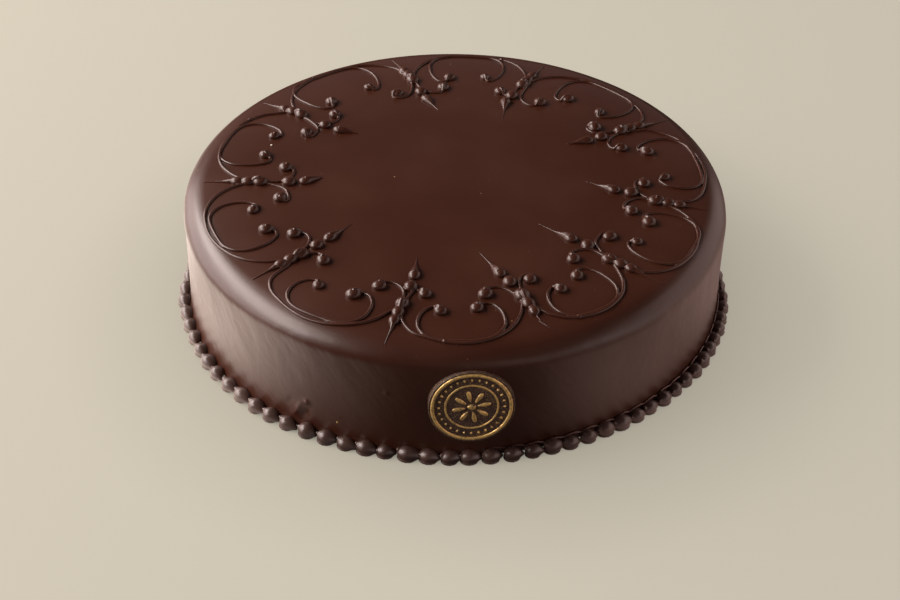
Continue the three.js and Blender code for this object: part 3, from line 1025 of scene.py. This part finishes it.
def foot_line():
    places, radii = [], []
    for step in range(FOOT_STEPS + 1):
        azimuth = FOOT_FROM + step * FOOT_STEP
        rise = 3.7 + 1.2 * abs(math.sin(math.radians(azimuth * PEARL_COUNT / 2))) + 0.2 * wobble(step, 11)
        spot = polar(CAKE_RADIUS + 0.3 + 0.85 * spread(azimuth), azimuth)
        places.append(Vector((spot.x, spot.y, rise)) * MM)
        radii.append(min(1, 0.1 + step / 30, 0.1 + (FOOT_STEPS - step) / 30))
    return curve_mesh("foot_line", places, radii, FOOT_THICK * MM)


# Painted light: the line is the same glaze, but its colour is painted lighter than the glaze's own, to make
# up for the shade between the pearls and the wall.
painted_lighter_string, start, surface = new_material("glaze_string")
grain = noise_of(start, object_place(start), 1.5, detail=3)
feed(start, surface, "Base Color", grain.blend((0.085, 0.038, 0.028, 1), (0.13, 0.062, 0.048, 1)))
surface.inputs["Roughness"].default_value = 0.38
finished(foot_line(), "glaze", painted_lighter_string, angle=180)

# %% [markdown]
# One crumb of sugar lies on the top and one flake of gold on the side, each a small uneven ball.

# %% A crumb and a flake
def crumb(name, spot, size, colour):
    select_only()
    bpy.ops.mesh.primitive_ico_sphere_add(subdivisions=2, radius=size * MM, location=Vector(spot) * MM)
    obj = bpy.context.object
    for number, vertex in enumerate(obj.data.vertices):
        vertex.co *= 1 + 0.25 * wobble(number, size)
    material, start, surface = new_material(name)
    darker = tuple(part * 0.7 for part in colour[:3]) + (1,)
    tint = noise_of(start, object_place(start), 0.8).blend(colour, darker)
    feed(start, surface, "Base Color", tint)
    surface.inputs["Roughness"].default_value = 0.5
    obj.name = name
    finished(obj, "gilt", material, angle=60)


sugar = polar(90.3, 165.3)
crumb("sugar_crumb", (sugar.x, sugar.y, CAKE_HEIGHT + 0.2), 0.42, (0.75, 0.68, 0.6, 1))
flake = polar(CAKE_RADIUS + 1.6, -111.9)
crumb("gold_flake", (flake.x, flake.y, 12), 0.45, (0.40, 0.27, 0.09, 1))

# %% [markdown]
# ## Floor, light and camera
# The floor is plain and pale, with a painted shadow close round the foot: ambient occlusion dims its
# glow there. A soft window stands at the left, low enough for the round edge to mirror it, with a
# dimmer glow under it. Weak panels at the right, in front and behind lift the dark side. The torte
# stands on a bright metal plate that isn't made here, so the floor lights the side as that plate
# would: a few soft patches of light near the wall, which only the torte sees. The camera sees the
# plain floor and its painted shadow.

# %% The floor
FLOOR = (0.665, 0.617, 0.503, 1)
# Each patch: its middle and its reach in metres, and how bright it is.
CARDS = (((-0.145, -0.09, 0), 0.09, 3.1), ((-0.16, 0.0, 0), 0.11, 1.7), ((-0.18, 0.10, 0), 0.16, 2.2),
         ((-0.45, 0.05, 0), 0.42, 1.2), ((-0.75, 0.15, 0), 0.7, 1.1), ((-0.09, -0.145, 0), 0.065, 0.65),
         ((-0.02, -0.19, 0), 0.13, 0.04))
RIGHT_CARDS = (((0.10, -0.125, 0), 0.075, 0.58), ((0.145, -0.05, 0), 0.09, 0.24),
               ((0.33, -0.04, 0), 0.30, 1.0), ((0.9, 0.1, 0), 0.85, 1.0), ((0.3, -0.4, 0), 0.35, 0.7))
LEFT_TINT = (1, 0.86, 0.75, 1)
RIGHT_TINT = (1, 0.68, 0.58, 1)
DIM = 0.035
SHADOW_REACH = 0.07


def card_glow(start, spots, everywhere):
    """How brightly the floor shines on the torte: dim, with a soft patch of light at each spot."""
    place = object_place(start)
    total = None
    for spot, reach, level in spots:
        away = place.node("VectorMath", {"operation": "DISTANCE"}, {0: place, 1: spot}, output=1)
        glow = (1 - away.between(0.0, reach)) * level
        total = glow + everywhere if total is None else total + glow
    return total


def pale_floor():
    """The floor: pale with a painted shadow round the foot for the camera, patches of light for other rays.
    """
    select_only()
    bpy.ops.mesh.primitive_plane_add(size=14)
    floor = bpy.context.object
    floor.name = "floor"
    material = bpy.data.materials.new("pale_floor")
    material.use_nodes = True
    tree = material.node_tree
    start = Shade(tree)
    output = tree.nodes["Material Output"]
    tree.nodes.remove(tree.nodes["Principled BSDF"])
    # Ambient occlusion dims the floor's glow close round the foot: a painted contact shadow that the camera
    # sees.
    painted_shadow_mask = start.node("AmbientOcclusion", {"samples": 8}, {"Distance": SHADOW_REACH}, output=1)
    glow = start.node("Emission", None, {"Color": FLOOR, "Strength": painted_shadow_mask * 0.42 + 0.31})
    lit = start.node("BsdfDiffuse", None, {"Color": tuple(part * 0.17 for part in FLOOR[:3]) + (1,)})
    seen = start.node("AddShader", None, {0: glow, 1: lit})
    left = start.node("Emission", None, {"Color": LEFT_TINT, "Strength": card_glow(start, CARDS, DIM)})
    right = start.node("Emission", None, {"Color": RIGHT_TINT, "Strength": card_glow(start, RIGHT_CARDS, 0)})
    patches = start.node("AddShader", None, {0: left, 1: right})
    camera_ray = start.node("LightPath")
    both = start.node("MixShader", None, {0: camera_ray, 1: patches, 2: seen})
    tree.links.new(both.socket, output.inputs["Surface"])
    floor.data.materials.append(material)


pale_floor()

# %% [markdown]
# Each panel is a rectangle that faces the torte. Its size sets how soft the shadow is and how wide
# its mirror image in the round edge; its power is in watts.

# %% The lights
def area_light(name, spot, aim, size, height, power, colour):
    data = bpy.data.lights.new(name, "AREA")
    data.shape = "RECTANGLE"
    data.size, data.size_y = size, height
    data.energy = power
    data.color = colour
    light = bpy.data.objects.new(name, data)
    bpy.context.scene.collection.objects.link(light)
    light.location = spot
    light.rotation_euler = (Vector(aim) - Vector(spot)).to_track_quat("-Z", "Y").to_euler()


area_light("left_window", (-0.82, 0.13, 0.66), (0, 0, 0.06), 1.45, 0.41, 21.5, (1, 0.89, 0.84))
area_light("left_glow", (-0.92, 0.13, 0.23), (0, 0, 0.06), 1.5, 0.46, 9, (1, 0.86, 0.83))
area_light("front_fill", (0.55, -0.8, 0.27), (0, 0, 0.06), 0.9, 0.5, 0.8, (1, 0.78, 0.74))
area_light("right_fill", (0.95, 0.12, 0.36), (0, 0, 0.06), 1.9, 0.72, 5.3, (1, 0.74, 0.68))
area_light("back_wall", (-0.3, 1.6, 0.62), (0, 0, 0.05), 2.2, 0.5, 0.9, (1, 0.76, 0.74))

world = bpy.data.worlds.new("studio")
world.use_nodes = True
world.node_tree.nodes["Background"].inputs["Color"].default_value = (1, 0.93, 0.88, 1)
world.node_tree.nodes["Background"].inputs["Strength"].default_value = 0.03
bpy.context.scene.world = world
bpy.context.scene.view_settings.view_transform = "Standard"

# %% [markdown]
# The camera stands half a metre in front of the torte's middle and nearly 0.4 m up. Its place and its
# two directions, where it looks and which way is down for it, fix the view.

# %% The camera
CAMERA_SPOT = (0.0, -0.5036, 0.38857)
LOOK = (-0.0027, 0.77863, -0.62748)
DOWN = (0.01246, -0.62741, -0.77859)
camera_data = bpy.data.cameras.new("camera")
camera_data.sensor_width = 36
camera_data.lens = 52
camera = bpy.data.objects.new("camera", camera_data)
bpy.context.scene.collection.objects.link(camera)
back = -Vector(LOOK).normalized()
up = -Vector(DOWN)
right = up.cross(back).normalized()
up = back.cross(right)
turned = Matrix((right, up, back)).transposed().to_4x4()
camera.matrix_world = Matrix.Translation(CAMERA_SPOT) @ turned
bpy.context.scene.camera = camera
